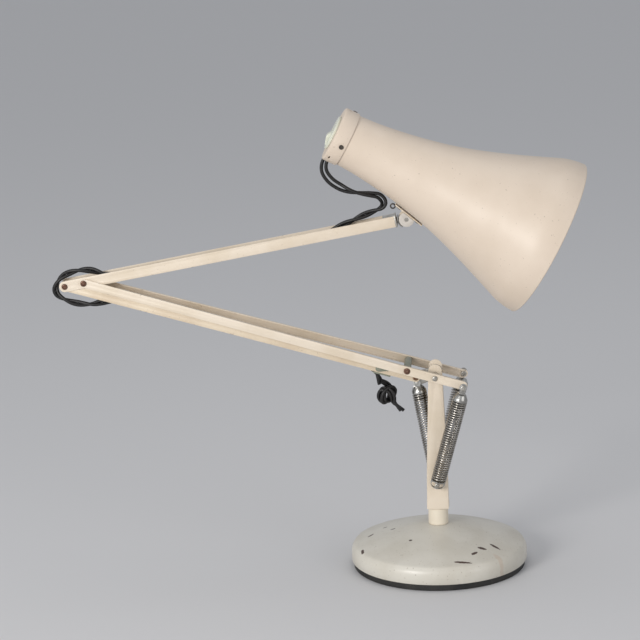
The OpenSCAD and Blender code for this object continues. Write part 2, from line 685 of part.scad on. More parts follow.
// Screwed plug: an eye or, with a slot, a clevis, on a cone with a stud below
module spring_head(len, lean, slot, plug) {
    translate([0, 0, len]) difference() {
        union() {
            y_rod(3.8, -slot - 1.7, slot + 1.7);
            translate([-2.6, -slot - 1.7, -7]) cube([5.2, 2 * slot + 3.4, 7]);
            translate([0, 0, -plug]) rotate_extrude()
                polygon([[0, -stud_len], [coil_in_r - 0.15, -stud_len], [coil_in_r - 0.15, 0],
                         [spring_r - 0.2, 0], [spring_r - 0.4, 2.4], [4.8, 7.2], [0, 7.2]]);
        }
        rotate([-lean, 0, 0]) y_rod(hook_pin_r + running, -6, 6);
        if (slot > 0) translate([-6, -slot, -5.2]) cube([12, 2 * slot, 12]);
    }
}
module spring_coil(len, plug) {
    translate([0, 0, coil_foot]) difference() {
        cylinder(r = spring_r, h = len - plug - 0.1 - coil_foot);
        translate([0, 0, -1]) cylinder(r = coil_in_r, h = len);
    }
}
// Round-ended plate that closes the coil, with a slot that lets it ride on
// the anchor pin while the spring swings
module spring_foot() {
    translate([0, 1.5, 0]) rotate([90, 0, 0]) linear_extrude(3) difference() {
        union() {
            translate([0, 3.2]) circle(r = spring_r - 0.4);
            translate([0.4 - spring_r, 3.2]) square([2 * spring_r - 0.8, 1.5]);
        }
        translate([-spring_d, 4.7]) square([2 * spring_d, spring_d]);
        for (x = [-foot_slot, foot_slot]) translate([x, 0.85]) circle(r = foot_slot_r);
        translate([-foot_slot, 0.85 - foot_slot_r]) square([2 * foot_slot, 2 * foot_slot_r]);
    }
    translate([0, 0, 4.6]) cylinder(r = spring_r - 0.4, h = 1);
}
module front_spring() {
    spring_frame([tail_pin[0], -hook_y, tail_pin[2]], [0, -foot_y, anchor_h]) children();
}
module rear_spring() {
    spring_frame([tail_pin[0], hook_y, tail_pin[2]], [0, foot_y, anchor_h]) children();
}
module left_spring() { spring_frame(left_pin, [0, 0, anchor_h]) children(); }

module front_spring_head() { color(steel) front_spring() spring_head(side_len, side_lean, 0, plug_len); }
module front_spring_coil() { color(dark_steel) front_spring() spring_coil(side_len, plug_len); }
module front_spring_foot() { color(dark_steel) front_spring() spring_foot(); }
module rear_spring_head() { color(steel) rear_spring() spring_head(side_len, -side_lean, 0, plug_len); }
module rear_spring_coil() { color(dark_steel) rear_spring() spring_coil(side_len, plug_len); }
module rear_spring_foot() { color(dark_steel) rear_spring() spring_foot(); }
module left_spring_head() { color(steel) left_spring() spring_head(left_len, 0, crank_t + 0.3, left_plug_len); }
module left_spring_coil() { color(dark_steel) left_spring() spring_coil(left_len, left_plug_len); }
module left_spring_foot() { color(dark_steel) left_spring() spring_foot(); }

// ---- Flex ----

// A closed tube along the whole route from one point to another. Its end rings
// lie square to the route, so two stretches meet face to face.
function unit(v) = v / norm(v);
function side_u(t) = unit(cross([0, 1, 0], t));
function ring_at(p, t, r) = let (u = side_u(t), v = cross(t, u))
    [for (k = [0:7]) p + r * (cos(45 * k) * u + sin(45 * k) * v)];
function route_dir(q, i) = unit(q[min(i + 1, len(q) - 1)] - q[max(i - 1, 0)]);
module flex_tube(q, first, last) {
    n = last - first + 1;
    points = [for (i = [first:last]) each ring_at(q[i], route_dir(q, i), flex_d / 2)];
    sides = [for (i = [0:n - 2], k = [0:7])
        [8 * i + k, 8 * i + (k + 1) % 8, 8 * (i + 1) + (k + 1) % 8, 8 * (i + 1) + k]];
    color(black) polyhedron(points, concat([[for (k = [7:-1:0]) k]], sides,
                                           [[for (k = [0:7]) 8 * (n - 1) + k]]), convexity = 8);
}
module flex_head_loop() { flex_tube(flex_route, 0, turn_at); }
module flex_head_return() { flex_tube(flex_route, turn_at, arm_at); }
module flex_upper_run() { flex_tube(flex_route, arm_at, arm_at + 1); }
module flex_elbow_top() { flex_tube(flex_route, arm_at + 1, elbow_at); }
module flex_elbow_bottom() { flex_tube(flex_route, elbow_at, link_at); }
module flex_lower_run() { flex_tube(flex_route, link_at, link_at + 1); }
module flex_tail() { flex_tube(flex_route, link_at + 1, len(flex_route) - 1); }
module flex_knot() { color(black) translate(knot_at) sphere(r = knot_r); }
module flex_end() { flex_tube(end_route, 0, len(end_route) - 1); }

base_cover();
base_weight();
base_ring();
base_felt();
neck_bush();
spindle_nut();
post();
spindle();
anchor_pin();
pivot_pin();
pivot_spacers();
front_bar();
rear_bar();
spacer_tube();
spacer_bolt();
spring_pins();
elbow_pin();
elbow_washers();
upper_arm();
knuckle_bush();
link_pin();
link();
link_clip();
crank();
crank_rivet();
knuckle();
tilt_disc();
tilt_pin();
shade();
shade_cap();
cap_screws();
switch_plate();
rocker();
lampholder();
holder_ring();
bulb_cap();
bulb_glass();
shade_strap();
strap_screws();
cable_eyelet();
front_spring_head();
front_spring_coil();
front_spring_foot();
rear_spring_head();
rear_spring_coil();
rear_spring_foot();
left_spring_head();
left_spring_coil();
left_spring_foot();
flex_upper_run();
flex_lower_run();
flex_head_loop();
flex_head_return();
flex_elbow_top();
flex_elbow_bottom();
flex_tail();
flex_knot();
flex_end();
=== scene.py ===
import math

import bmesh
import bpy
from mathutils import Matrix, Vector


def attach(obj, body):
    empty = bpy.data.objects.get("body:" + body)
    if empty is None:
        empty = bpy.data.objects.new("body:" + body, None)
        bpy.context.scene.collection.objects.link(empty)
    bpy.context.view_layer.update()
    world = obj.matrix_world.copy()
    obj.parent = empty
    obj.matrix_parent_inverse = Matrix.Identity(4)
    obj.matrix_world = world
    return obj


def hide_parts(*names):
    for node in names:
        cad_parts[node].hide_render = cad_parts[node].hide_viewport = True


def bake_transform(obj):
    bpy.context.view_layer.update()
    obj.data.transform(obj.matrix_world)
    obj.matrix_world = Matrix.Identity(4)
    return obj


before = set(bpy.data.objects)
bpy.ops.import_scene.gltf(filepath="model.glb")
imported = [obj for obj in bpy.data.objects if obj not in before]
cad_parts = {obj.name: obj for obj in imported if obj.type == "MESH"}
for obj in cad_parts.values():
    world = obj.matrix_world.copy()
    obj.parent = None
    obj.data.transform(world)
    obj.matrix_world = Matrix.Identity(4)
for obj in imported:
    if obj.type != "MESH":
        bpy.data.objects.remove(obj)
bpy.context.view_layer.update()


# ---- Table, camera and lamps of the studio ----
# A wide flat pale card under the lamp, which fills the main view, with one broad
# soft light on the left, a weaker fill and a little light from above.
card_half = 8
sweep_card = bmesh.new()
corners = [sweep_card.verts.new((x * card_half, y * card_half, 0))
           for x, y in ((-1, -1), (1, -1), (1, 1), (-1, 1))]
sweep_card.faces.new(corners)
sweep_mesh = bpy.data.meshes.new("sweep")
sweep_card.to_mesh(sweep_mesh)
sweep_card.free()
sweep = bpy.data.objects.new("sweep", sweep_mesh)
bpy.context.collection.objects.link(sweep)
card = bpy.data.materials.new("pale_card")
card.use_nodes = True
card.node_tree.nodes["Principled BSDF"].inputs["Base Color"].default_value = (0.66, 0.66, 0.67, 1)
card.node_tree.nodes["Principled BSDF"].inputs["Roughness"].default_value = 0.7
sweep_mesh.materials.append(card)

view_turn, view_drop, view_roll = math.radians(4.2), math.radians(13.01), math.radians(-1.89)
ahead = Vector((-math.sin(view_turn) * math.cos(view_drop),
                math.cos(view_turn) * math.cos(view_drop), -math.sin(view_drop)))
view_target = Vector((-0.1153, 0, 0.2593))
view_distance = 2.428
level_right = ahead.cross(Vector((0, 0, 1))).normalized()
level_up = level_right.cross(ahead)
view_right = math.cos(view_roll) * level_right + math.sin(view_roll) * level_up
view_up = math.cos(view_roll) * level_up - math.sin(view_roll) * level_right
camera_data = bpy.data.cameras.new("camera")
camera_data.lens = 135
camera_data.sensor_width = 36
camera = bpy.data.objects.new("camera", camera_data)
bpy.context.collection.objects.link(camera)
camera.matrix_world = Matrix((view_right, view_up, -ahead)).transposed().to_4x4()
camera.location = view_target - ahead * view_distance
bpy.context.scene.camera = camera
lamp_target = Vector((-0.1, 0, 0.25))


def soft_light(name, place, size, watts, tint):
    """A round area light that faces the middle of the object."""
    light = bpy.data.lights.new(name, "AREA")
    light.shape = "DISK"
    light.size = size
    light.energy = watts
    light.color = tint
    lamp = bpy.data.objects.new(name, light)
    bpy.context.collection.objects.link(lamp)
    lamp.location = place
    lamp.rotation_euler = (lamp_target - Vector(place)).to_track_quat("-Z", "Y").to_euler()


soft_light("window_light", (-1.5, -2.4, 0.95), 1.1, 50, (1.0, 0.975, 0.94))
soft_light("fill_light", (1.9, -1.7, 0.8), 1.5, 9, (1.0, 0.97, 0.95))
soft_light("top_light", (0.2, 0.3, 2.3), 1.4, 4, (1.0, 1.0, 1.0))
world = bpy.data.worlds.new("room")
world.use_nodes = True
world.node_tree.nodes["Background"].inputs["Color"].default_value = (0.94, 0.96, 1.0, 1)
world.node_tree.nodes["Background"].inputs["Strength"].default_value = 0.5
bpy.context.scene.view_settings.view_transform = "Standard"
bpy.context.scene.world = world


# ---- Flex ----
# Black plastic twin flex: two round cores twisted together. It leaves the cap
# with its cores apart, turns back into the upper arm, loops round the elbow,
# lies in the link and ends in an overhand knot below the clip.
core_r = 0.00175
core_offset = 0.00175
sample_step = 0.0016
head_loop = [(-101.7, -8.2, 427.7), (-105.5, -7.5, 420.7), (-105.5, -6.8, 412), (-99.8, -5.6, 403),
             (-91, -5, 396.5), (-81, -6, 392), (-70, -6, 389.5), (-60, -5, 388),
             (-52, -4, 386), (-47.5, -3, 380)]
head_return = [(-50, -2, 374), (-60, -1, 369.5), (-72, 0, 364.5), (-84, 0, 359),
               (-96, 0, 353.4), (-106, 0, 349.4), (-116, 0, 346.4), (-126, 0, 344)]
upper_run = [(-136, 0, 342.2), (-310, 0, 310.9), (-320, 0, 309.1)]
elbow_top = [(-330, 0, 310), (-338, 0, 312.8), (-346, 0, 315), (-356, 0, 315.5),
             (-366, 0, 313.5), (-375, 0, 309.5), (-381, 0, 303.5), (-383.5, 0, 296)]
elbow_bottom = [(-381.5, 0, 290), (-375, 0, 285.5), (-366, 0, 282), (-356, 0, 280.2), (-346, 0, 280),
                (-336, 0, 281.8), (-326, 0, 282.8), (-316, 0, 282.2), (-306, 0, 280.3)]
lower_run = [(-296, 0, 277.5), (-88, 0, 218.2), (-78, 0, 215.4), (-69, 0, 211.9), (-62, 0, 206.8),
             (-58, 0, 199.5), (-55.5, 0, 192)]
flex_stretches = [("flex_head_loop", head_loop), ("flex_head_return", head_return),
                  ("flex_upper_run", upper_run), ("flex_elbow_top", elbow_top),
                  ("flex_elbow_bottom", elbow_bottom), ("flex_lower_run", lower_run)]


def curve_through(points, step):
    """A smooth line through the points, as a list of points about one step apart."""
    ends = [points[0] * 2 - points[1]] + points + [points[-1] * 2 - points[-2]]
    line = []
    marks = [0]
    for i in range(1, len(ends) - 2):
        before, a, b, after = ends[i - 1:i + 3]
        count = max(2, math.ceil((b - a).length / step))
        for k in range(count):
            t = k / count
            line.append(0.5 * (2 * a + (b - before) * t
                               + (2 * before - 5 * a + 4 * b - after) * t * t
                               + (3 * a - before - 3 * b + after) * t ** 3))
        marks.append(len(line))
    return line + [points[-1]], marks


def frames_along(line):
    """For each point of the line, two directions square to it that don't spin about it."""
    side = Vector((0, 1, 0))
    frames = []
    for i, point in enumerate(line):
        along = (line[min(i + 1, len(line) - 1)] - line[max(i - 1, 0)]).normalized()
        side = (side - along * side.dot(along)).normalized()
        frames.append((side, along.cross(side)))
    return frames


def core_mesh(bm, points, radius):
    """Adds a round closed core along the points to a bmesh."""
    data = bpy.data.curves.new("core", "CURVE")
    data.dimensions = "3D"
    data.bevel_depth = radius
    data.bevel_resolution = 3
    data.use_fill_caps = True
    spline = data.splines.new("POLY")
    spline.points.add(len(points) - 1)
    for target, point in zip(spline.points, points):
        target.co = (*point, 1)
    core = bpy.data.objects.new("core", data)
    bpy.context.collection.objects.link(core)
    bpy.context.view_layer.update()
    made = core.to_mesh()
    bm.from_mesh(made)
    core.to_mesh_clear()
    bpy.data.objects.remove(core)
    bpy.data.curves.remove(data)


def finish_piece(name, bm, material, smooth_angle=40):
    """Turns a bmesh into a named piece at the origin, smooth except at its sharp edges."""
    for face in bm.faces:
        face.smooth = True
    mesh = bpy.data.meshes.new(name)
    bm.to_mesh(mesh)
    bm.free()
    mesh.set_sharp_from_angle(angle=math.radians(smooth_angle))
    piece = bpy.data.objects.new(name, mesh)
    bpy.context.collection.objects.link(piece)
    mesh.materials.append(material)
    return piece


def new_group(name, inputs, outputs):
    """An empty shader node group with number inputs and outputs, and its two end nodes."""
    group = bpy.data.node_groups.new(name, "ShaderNodeTree")
    for label, value in inputs:
        socket = group.interface.new_socket(label, in_out="INPUT", socket_type="NodeSocketFloat")
        socket.default_value = value
    for label in outputs:
        group.interface.new_socket(label, in_out="OUTPUT", socket_type="NodeSocketFloat")
    return group, group.nodes.new("NodeGroupInput"), group.nodes.new("NodeGroupOutput")


def noise_in(tree, scale, detail, roughness=0.5):
    """A noise on the piece's own coordinates, in cells per metre."""
    place = tree.nodes.new("ShaderNodeTexCoord")
    noise = tree.nodes.new("ShaderNodeTexNoise")
    noise.inputs["Scale"].default_value = scale
    noise.inputs["Detail"].default_value = detail
    noise.inputs["Roughness"].default_value = roughness
    tree.links.new(place.outputs["Object"], noise.inputs["Vector"])
    return noise.outputs["Fac"]


def sum_in(tree, operation, first, second, third=None, clamp=False):
    """A Math node. Each input is a socket or a number."""
    node = tree.nodes.new("ShaderNodeMath")
    node.operation = operation
    node.use_clamp = clamp
    for socket, value in zip(node.inputs, (first, second, third)):
        if isinstance(value, (int, float)):
            socket.default_value = value
        elif value is not None:
            tree.links.new(value, socket)
    return node.outputs[0]


def step_in(tree, value, low, high, out_low=0.0, out_high=1.0):
    """A smooth step from out_low to out_high as the value goes from low to high."""
    node = tree.nodes.new("ShaderNodeMapRange")
    node.interpolation_type = "SMOOTHSTEP"
    for label, number in (("From Min", low), ("From Max", high), ("To Min", out_low), ("To Max", out_high)):
        if isinstance(number, (int, float)):
            node.inputs[label].default_value = number
        else:
            tree.links.new(number, node.inputs[label])
    tree.links.new(value, node.inputs["Value"])
    return node.outputs["Result"]


def blend_in(tree, mask, first, second):
    """A colour mix by a mask. Each colour is a socket or three numbers."""
    node = tree.nodes.new("ShaderNodeMix")
    node.data_type = "RGBA"
    tree.links.new(mask, node.inputs["Factor"])
    for label, value in (("A", first), ("B", second)):
        socket = [s for s in node.inputs if s.name == label and s.type == "RGBA"][0]
        if isinstance(value, tuple):
            socket.default_value = (*value, 1)
        else:
            tree.links.new(value, socket)
    return [s for s in node.outputs if s.type == "RGBA"][0]


# Surface grain: a slow change of tone, fine pores and a height for the bump
grain_group, grain_in, grain_out = new_group(
    "surface_grain", [("Slow", 30.0), ("Fine", 900.0)], ["Tone", "Pores", "Height"])
grain_place = grain_group.nodes.new("ShaderNodeTexCoord")
for part, label, detail in (("Tone", "Slow", 4.0), ("Pores", "Fine", 2.0)):
    grain_noise = grain_group.nodes.new("ShaderNodeTexNoise")
    grain_noise.inputs["Detail"].default_value = detail
    grain_group.links.new(grain_in.outputs[label], grain_noise.inputs["Scale"])
    grain_group.links.new(grain_place.outputs["Object"], grain_noise.inputs["Vector"])
    grain_group.links.new(grain_noise.outputs["Fac"], grain_out.inputs[part])
    if part == "Pores":
        grain_group.links.new(grain_noise.outputs["Fac"], grain_out.inputs["Height"])


def new_material(name, roughness, metallic):
    """A material with plain numbers on its shader, to be given its colour and relief."""
    made = bpy.data.materials.new(name)
    made.use_nodes = True
    shader = made.node_tree.nodes["Principled BSDF"]
    shader.inputs["Roughness"].default_value = roughness
    shader.inputs["Metallic"].default_value = metallic
    shader.inputs["Specular IOR Level"].default_value = 0.5
    return made, made.node_tree, shader


def relief(tree, shader, height, depth):
    """Feeds a height through a Bump node into the shader's normal."""
    bump = tree.nodes.new("ShaderNodeBump")
    bump.inputs["Strength"].default_value = 1.0
    bump.inputs["Distance"].default_value = depth
    tree.links.new(height, bump.inputs["Height"])
    tree.links.new(bump.outputs["Normal"], shader.inputs["Normal"])


def grained(name, colour, worn_colour, roughness, roughness_spread, metallic, slow, fine, depth):
    """A plain material whose tone, gloss and relief vary as the surface grain does."""
    made, tree, shader = new_material(name, roughness, metallic)
    grain = tree.nodes.new("ShaderNodeGroup")
    grain.node_tree = grain_group
    grain.inputs["Slow"].default_value = slow
    grain.inputs["Fine"].default_value = fine
    tone = step_in(tree, grain.outputs["Tone"], 0.36, 0.66)
    tree.links.new(blend_in(tree, tone, colour, worn_colour), shader.inputs["Base Color"])
    spread = step_in(tree, grain.outputs["Pores"], 0.3, 0.7,
                     roughness - roughness_spread, roughness + roughness_spread)
    tree.links.new(spread, shader.inputs["Roughness"])
    relief(tree, shader, grain.outputs["Height"], depth)
    return made


flex_black = grained("flex_plastic", (0.004, 0.004, 0.0045), (0.011, 0.010, 0.010),
                     0.50, 0.08, 0.0, 60, 1500, 0.00004)
flex_controls = [Vector(p) / 1000 for _, stretch in flex_stretches for p in stretch]
flex_line, flex_marks = curve_through(flex_controls, sample_step)
flex_frames = frames_along(flex_line)
flex_run = [0.0]
for i in range(1, len(flex_line)):
    flex_run.append(flex_run[-1] + (flex_line[i] - flex_line[i - 1]).length)
loop_length = flex_run[flex_marks[len(head_loop) - 1]]


slow_from, slow_over, steady_from = 0.45 * loop_length, 0.5 * loop_length, 0.95 * loop_length
half_turn_length = 0.026
wide_gap, wide_until = 0.0010, 0.7 * loop_length
small_gap, small_at, small_reach = 0.0007, 1.02 * loop_length, 0.014


def twist_at(along):
    """Turn of the cores: none at the cap, half a turn by the loop's end, then steady."""
    slow = min(max(along - slow_from, 0), slow_over)
    steady = max(along - steady_from, 0)
    return math.pi * (0.5 + slow / slow_over + steady / half_turn_length)


def parting_at(along):
    """How far each core stands off the other in the slack head loop."""
    first = max(0.0, math.sin(math.pi * min(1.0, along / wide_until)))
    second = max(0.0, 1 - abs(along - small_at) / small_reach)
    return wide_gap * first + small_gap * second


flex_pieces = {}
flex_first = 0
controls_done = 0
for stretch_name, stretch in flex_stretches:
    controls_done += len(stretch)
    flex_last = flex_marks[controls_done - 1] if controls_done < len(flex_controls) else len(flex_line) - 1
    bm = bmesh.new()
    for side in (0, 1):
        core = []
        for i in range(flex_first, flex_last + 1):
            turn = twist_at(flex_run[i]) + side * math.pi
            reach = core_offset + parting_at(flex_run[i])
            across, over = flex_frames[i]
            core.append(flex_line[i] + reach * (math.cos(turn) * across + math.sin(turn) * over))
        core_mesh(bm, core, core_r)
    piece = finish_piece("twin_" + stretch_name, bm, flex_black)
    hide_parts(stretch_name)
    flex_pieces[stretch_name] = (piece, flex_line[flex_first:flex_last + 1])
    flex_first = flex_last

# Overhand knot with its cut end, drawn tight round the standing flex
knot_centre = Vector((-0.049, 0, 0.181))
knot_along = Vector((0.544, 0, -0.839))
knot_over = Vector((0.839, 0, 0.544))
knot_scale = 0.00125
knot_twist = 0.13
knot_turns = [(-12.6, 0, 1), (-9, 1.5, 3), (-3.5, 4.2, 3.8), (2.5, 4.6, 1.2), (5.4, 0.6, -3.2),
              (2.4, -4.6, -5.0), (-3.0, -5.4, -1.2), (-4.4, -2.2, 5.0), (0.2, 2.2, 6.6), (5.0, 3.8, 2.0),
              (3.6, 0.8, -5.4), (-2.2, -1.6, -6.2), (-6.4, -2.6, -1.6), (-2.8, -4.8, 3.4), (3.2, -4.2, 3.0),
              (8.0, -1.2, 0.6)]
knot_points = [knot_centre + (knot_along * a + Vector((0, 1, 0)) * b + knot_over * c) * knot_scale
               for a, b, c in knot_turns]
cut_end = [Vector((-0.0392, -0.0005, 0.1684)), Vector((-0.0335, 0, 0.1622))]
knot_points += cut_end
knot_line, _ = curve_through(knot_points, sample_step)
knot_frames = frames_along(knot_line)
bm = bmesh.new()
for side in (0, 1):
    core = []
    for i, point in enumerate(knot_line):
        turn = side * math.pi + i * knot_twist
        across, over = knot_frames[i]
        core.append(point + core_offset * (math.cos(turn) * across + math.sin(turn) * over))
    core_mesh(bm, core[:len(core) - 2 * side], core_r)
flex_knot = finish_piece("flex_knot_tied", bm, flex_black)
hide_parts("flex_knot", "flex_tail", "flex_end")
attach(flex_knot, "link")

for stretch_name, first_body, second_body in (
        ("flex_head_loop", "head", "knuckle"), ("flex_head_return", "knuckle", "upper_arm"),
        ("flex_elbow_top", "upper_arm", "link_pin"), ("flex_elbow_bottom", "link_pin", "link")):
    piece, path = flex_pieces[stretch_name]
    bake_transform(piece)
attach(flex_pieces["flex_upper_run"][0], "upper_arm")
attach(flex_pieces["flex_lower_run"][0], "link")


# ---- Base ----
# A pressed steel cover, stove-enamelled cream and chipped to rust at its rim,
# over a cast-iron weight. It stands on a black rubber ring with green felt.
base_r, base_h, ring_h, base_side, cover_wall = 0.090, 0.0435, 0.007, 0.011, 0.0016
neck_r, neck_h, spindle_r = 0.0102, 0.0177, 0.006


def turned(name, profile, material, place=Matrix(), steps=128):
    """Spins a closed profile of (radius, height) points about z, then puts it in place."""
    bm = bmesh.new()
    corners = [bm.verts.new((r, 0, z)) for r, z in profile]
    edges = [bm.edges.new(pair) for pair in zip(corners, corners[1:] + corners[:1])]
    bmesh.ops.spin(bm, geom=corners + edges, cent=(0, 0, 0), axis=(0, 0, 1), dvec=(0, 0, 0),
                   angle=2 * math.pi, steps=steps, use_merge=True)
    bmesh.ops.remove_doubles(bm, verts=bm.verts, dist=1e-6)
    bmesh.ops.recalc_face_normals(bm, faces=bm.faces)
    bmesh.ops.transform(bm, matrix=place, verts=bm.verts)
    return finish_piece(name, bm, material)


same_point, nearly_flat, sharp_from = 2e-6, math.radians(1), math.radians(30)


def softened(node, body, material, width=0.00025):
    """A copy of a CAD node whose sharp edges are rounded, as on pressed or moulded work."""
    bm = bmesh.new()
    bm.from_mesh(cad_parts[node].data)
    bmesh.ops.remove_doubles(bm, verts=bm.verts, dist=same_point)
    bmesh.ops.dissolve_limit(bm, angle_limit=nearly_flat, use_dissolve_boundaries=False,
                             verts=bm.verts, edges=bm.edges)
    sharp = [e for e in bm.edges
             if len(e.link_faces) == 2 and e.calc_face_angle(0) > sharp_from]
    bmesh.ops.bevel(bm, geom=sharp, offset=width, offset_type="OFFSET", affect="EDGES",
                    segments=2, profile=0.5, material=-1, clamp_overlap=True)
    bmesh.ops.triangulate(bm, faces=[f for f in bm.faces if len(f.verts) > 4])
    piece = finish_piece("soft_" + node, bm, material, 50)
    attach(piece, body)
    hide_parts(node)
    return piece


def dress(nodes, material):
    """Gives CAD nodes that are shown as they are their material."""
    for node in nodes:
        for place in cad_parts[node].material_slots:
            place.material = material


# Enamel wear: chips gather on edges, with a rust halo, specks and hair-fine orange peel
wear_group, wear_in, wear_out = new_group(
    "enamel_wear", [("Chips", 0.3), ("Specks", 0.3)], ["Tone", "Chip", "Halo", "Speck", "Height"])
round_normal = wear_group.nodes.new("ShaderNodeBevel")
round_normal.samples = 4
round_normal.inputs["Radius"].default_value = 0.0014
true_normal = wear_group.nodes.new("ShaderNodeNewGeometry")
turned_by = wear_group.nodes.new("ShaderNodeVectorMath")
turned_by.operation = "DOT_PRODUCT"
wear_group.links.new(round_normal.outputs["Normal"], turned_by.inputs[0])
wear_group.links.new(true_normal.outputs["Normal"], turned_by.inputs[1])
edge_turn = sum_in(wear_group, "SUBTRACT", 1.0, turned_by.outputs["Value"])
edge_mask = sum_in(wear_group, "MULTIPLY", edge_turn, 5.0, clamp=True)
chip_from, chip_full = 0.80, 0.815
chip_noise = noise_in(wear_group, 130, 6, 0.62)
chip_level = sum_in(wear_group, "MULTIPLY_ADD", edge_mask, 0.16, chip_noise)
chip_level = sum_in(wear_group, "MULTIPLY_ADD", wear_in.outputs["Chips"], 0.12, chip_level)
wear_group.links.new(step_in(wear_group, chip_level, chip_from, chip_full), wear_out.inputs["Chip"])
wear_group.links.new(step_in(wear_group, chip_level, 0.72, 0.84), wear_out.inputs["Halo"])
speck_noise = noise_in(wear_group, 520, 2, 0.5)
speck_level = sum_in(wear_group, "MULTIPLY_ADD", wear_in.outputs["Specks"], 0.10, speck_noise)
wear_group.links.new(step_in(wear_group, speck_level, 0.755, 0.80), wear_out.inputs["Speck"])
wear_group.links.new(noise_in(wear_group, 22, 4, 0.55), wear_out.inputs["Tone"])
peel = sum_in(wear_group, "MULTIPLY", noise_in(wear_group, 700, 1, 0.4), 0.35)
chip_depth = step_in(wear_group, chip_level, chip_from, chip_full)
dent = sum_in(wear_group, "SUBTRACT", peel, chip_depth)
wear_group.links.new(dent, wear_out.inputs["Height"])


def enamel(name, paint, aged, chips, specks, roughness):
    """Old stove enamel of one colour, which yellows in patches and chips to brown steel."""
    made, tree, shader = new_material(name, roughness, 0.0)
    wear = tree.nodes.new("ShaderNodeGroup")
    wear.node_tree = wear_group
    wear.inputs["Chips"].default_value = chips
    wear.inputs["Specks"].default_value = specks
    colour = blend_in(tree, step_in(tree, wear.outputs["Tone"], 0.34, 0.68), paint, aged)
    stain = tuple(0.55 * a * b for a, b in zip(aged, (1.0, 0.84, 0.66)))
    colour = blend_in(tree, sum_in(tree, "MULTIPLY", wear.outputs["Halo"], 0.45), colour, stain)
    specked = sum_in(tree, "MULTIPLY", wear.outputs["Speck"], 0.55)
    colour = blend_in(tree, specked, colour, (0.20, 0.14, 0.10))
    colour = blend_in(tree, wear.outputs["Chip"], colour, (0.075, 0.042, 0.030))
    tree.links.new(colour, shader.inputs["Base Color"])
    matt = sum_in(tree, "MULTIPLY_ADD", wear.outputs["Chip"], 0.35, roughness)
    matt = sum_in(tree, "MULTIPLY_ADD", wear.outputs["Tone"], 0.16, matt)
    tree.links.new(matt, shader.inputs["Roughness"])
    relief(tree, shader, wear.outputs["Height"], 0.00009)
    return made, tree, shader, colour


base_paint, base_tree, base_shader, base_colour = enamel(
    "base_enamel", (0.64, 0.615, 0.55), (0.57, 0.54, 0.47), 0.35, 0.7, 0.30)

# One placed chip: an oval mask with a ragged edge, in the plan of the base,
# given in millimetres
mm_per_m = 1000.0
bare_steel = (0.070, 0.040, 0.030)
chip_group, chip_in, chip_out = new_group(
    "placed_chip", [("Across", 0.0), ("Back", 0.0), ("Long", 3.0), ("Wide", 1.5), ("Turn", 0.0)], ["Mask"])
chip_place = chip_group.nodes.new("ShaderNodeTexCoord")
chip_split = chip_group.nodes.new("ShaderNodeSeparateXYZ")
chip_group.links.new(chip_place.outputs["Object"], chip_split.inputs[0])
plan_across = sum_in(chip_group, "MULTIPLY", chip_split.outputs["X"], mm_per_m)
plan_x = sum_in(chip_group, "SUBTRACT", plan_across, chip_in.outputs["Across"])
plan_back = sum_in(chip_group, "MULTIPLY", chip_split.outputs["Y"], mm_per_m)
plan_y = sum_in(chip_group, "SUBTRACT", plan_back, chip_in.outputs["Back"])
turn_cos = sum_in(chip_group, "COSINE", chip_in.outputs["Turn"], 0.0)
turn_sin = sum_in(chip_group, "SINE", chip_in.outputs["Turn"], 0.0)
long_from_y = sum_in(chip_group, "MULTIPLY", plan_y, turn_sin)
long_way = sum_in(chip_group, "MULTIPLY_ADD", plan_x, turn_cos, long_from_y)
oval_u = sum_in(chip_group, "DIVIDE", long_way, chip_in.outputs["Long"])
wide_from_y = sum_in(chip_group, "MULTIPLY", plan_y, turn_cos)
wide_from_x = sum_in(chip_group, "MULTIPLY", plan_x, turn_sin)
wide_way = sum_in(chip_group, "SUBTRACT", wide_from_y, wide_from_x)
oval_v = sum_in(chip_group, "DIVIDE", wide_way, chip_in.outputs["Wide"])
oval_v_square = sum_in(chip_group, "MULTIPLY", oval_v, oval_v)
oval_reach = sum_in(chip_group, "MULTIPLY_ADD", oval_u, oval_u, oval_v_square)
oval_reach = sum_in(chip_group, "MULTIPLY_ADD", noise_in(chip_group, 420, 3, 0.6), 1.7, oval_reach)
chip_group.links.new(step_in(chip_group, oval_reach, 1.80, 1.62), chip_out.inputs["Mask"])

for across, back, long, wide, turn in (
        (25, -77, 10, 1.5, 0.06), (37, -60, 4.5, 1.6, 0.75), (44, -49, 5, 2.2, -0.1),
        (57, -40, 6.5, 1.9, -0.55), (-70, 0, 4, 1.6, 0.7), (-77, -36, 1.6, 5, 0.1),
        (-56, 14, 2.6, 1.3, 0.4), (-47, 1, 2.6, 1.4, 0.2), (-28, -37, 1.8, 1.6, 0.0)):
    spot = base_tree.nodes.new("ShaderNodeGroup")
    spot.node_tree = chip_group
    for label, value in zip(("Across", "Back", "Long", "Wide", "Turn"), (across, back, long, wide, turn)):
        spot.inputs[label].default_value = value
    base_colour = blend_in(base_tree, spot.outputs["Mask"], base_colour, bare_steel)
rust_run = base_tree.nodes.new("ShaderNodeGroup")
rust_run.node_tree = chip_group
for label, value in zip(("Across", "Back", "Long", "Wide", "Turn"), (61, -60, 3, 8, 0.75)):
    rust_run.inputs[label].default_value = value
rust_mask = sum_in(base_tree, "MULTIPLY", rust_run.outputs["Mask"], 0.30)
base_colour = blend_in(base_tree, rust_mask, base_colour, (0.50, 0.35, 0.24))
base_tree.links.new(base_colour, base_shader.inputs["Base Color"])

side_top = ring_h + base_side


